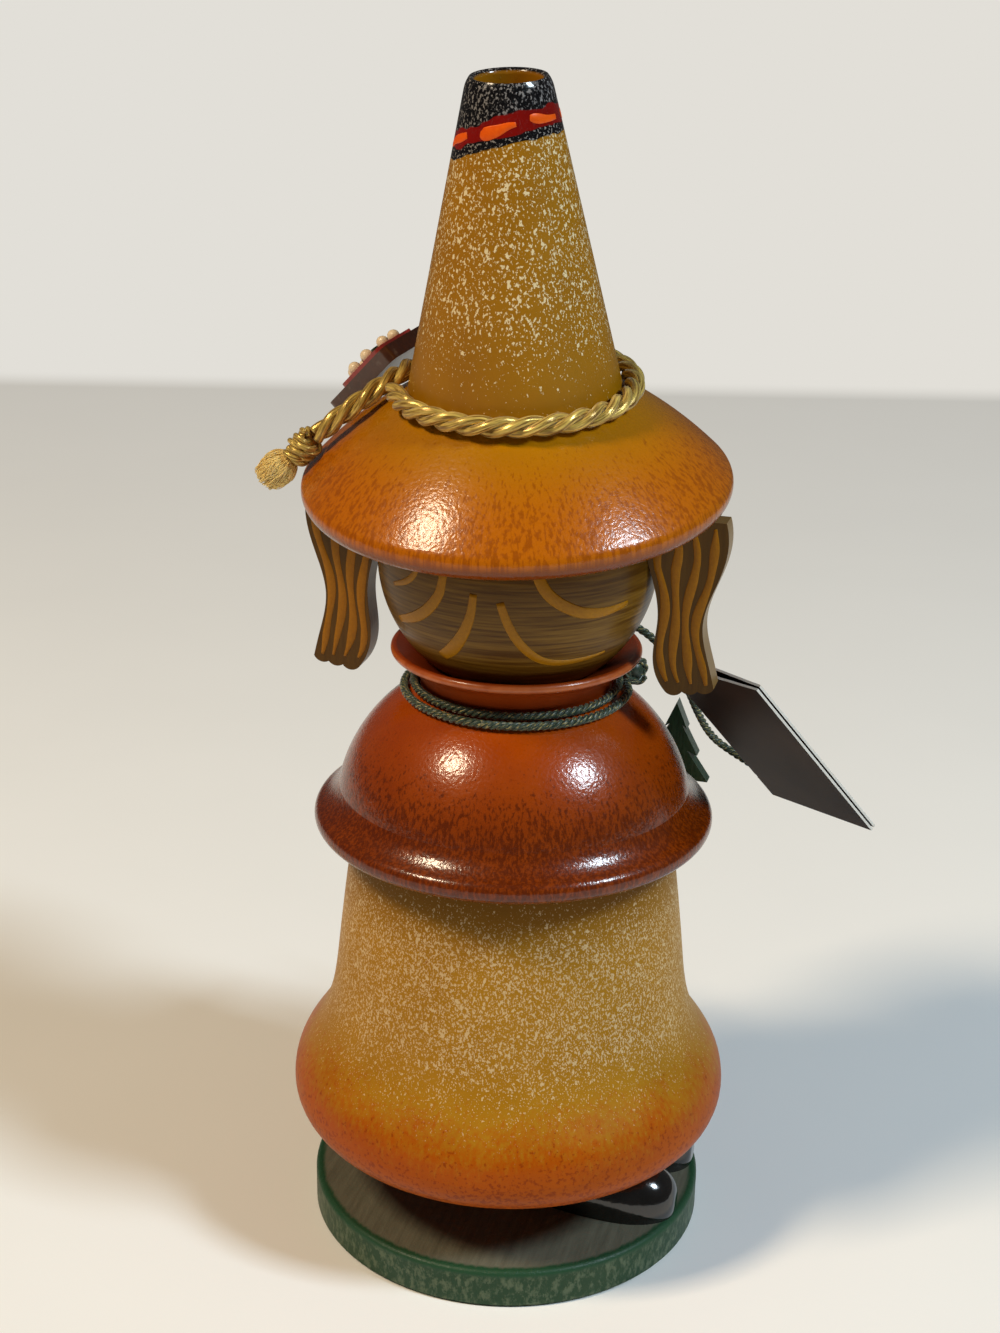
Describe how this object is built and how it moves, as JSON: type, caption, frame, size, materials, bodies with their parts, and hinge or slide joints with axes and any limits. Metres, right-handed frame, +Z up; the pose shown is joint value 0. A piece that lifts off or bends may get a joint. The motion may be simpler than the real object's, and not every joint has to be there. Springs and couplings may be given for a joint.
{
  "type": "german incense smoker",
  "caption": "Turned wooden figure in a cape and tall pointed hat on a round base; its upper half turns and lifts off an incense cup, and smoke leaves at the hat's tip.",
  "frame": {"origin": "middle of the base's underside", "axes": "+Z up along the turned figure, -Y the way the upper half looks, +X the figure's left; the lower half looks towards -X at rest"},
  "size_m": [0.096, 0.0739, 0.1901],
  "materials": {
    "ochre_wood": "satin",
    "rust_wood": "satin",
    "amber_wood": "satin",
    "taupe_wood": "satin",
    "skin_wood": "satin",
    "hair_wood": "satin",
    "black_wood": "gloss",
    "grey_wood": "satin",
    "base_wood": "satin",
    "bare_wood": "matte",
    "tree_wood": "satin",
    "tin": "satin",
    "gold_cord": "satin",
    "green_cord": "satin",
    "chocolate": "satin",
    "red_icing": "satin",
    "cream_icing": "satin",
    "green_icing": "satin",
    "brown_card": "matte"
  },
  "bodies": {
    "lower_body": {"base": "base_wood", "left_shoe": "black_wood", "right_shoe": "black_wood", "left_leg": "bare_wood", "right_leg": "bare_wood", "skirt": "ochre_wood", "incense_cup": "bare_wood", "incense_plate": "tin", "plate_nails": "tin"},
    "seat_ring_body": {"seat_ring": "bare_wood"},
    "upper_body": {"hat_cone": "ochre_wood", "cape": "rust_wood", "collar": "rust_wood", "left_arm": "rust_wood", "right_arm": "rust_wood", "hat_brim": "amber_wood", "head": "taupe_wood", "nose": "skin_wood", "left_hair": "hair_wood", "right_hair": "hair_wood", "left_hand": "grey_wood", "right_hand": "grey_wood", "neck_tube": "bare_wood", "hair_pins": "bare_wood", "tree_trunk": "bare_wood", "fir_tree": "tree_wood", "hat_cord": "gold_cord", "hat_knot": "gold_cord", "hat_tassel": "gold_cord", "neck_cord": "green_cord", "neck_knot": "green_cord", "tag_knot": "green_cord", "tag_cord": "green_cord", "hat_tile": "chocolate", "tile_icing": "red_icing", "tile_beads": "cream_icing", "tile_leaves": "green_icing", "hang_tag": "brown_card"}
  },
  "joints": [
    {"name": "upper_lift", "type": "slide", "parent": "lower_body", "child": "seat_ring_body", "axis": [0, 0, 1], "range_m": [0, 0.06]},
    {"name": "upper_turn", "type": "hinge", "parent": "seat_ring_body", "child": "upper_body", "pos_m": [0, 0, 0.0711], "axis": [0, 0, 1], "continuous": true}
  ]
}
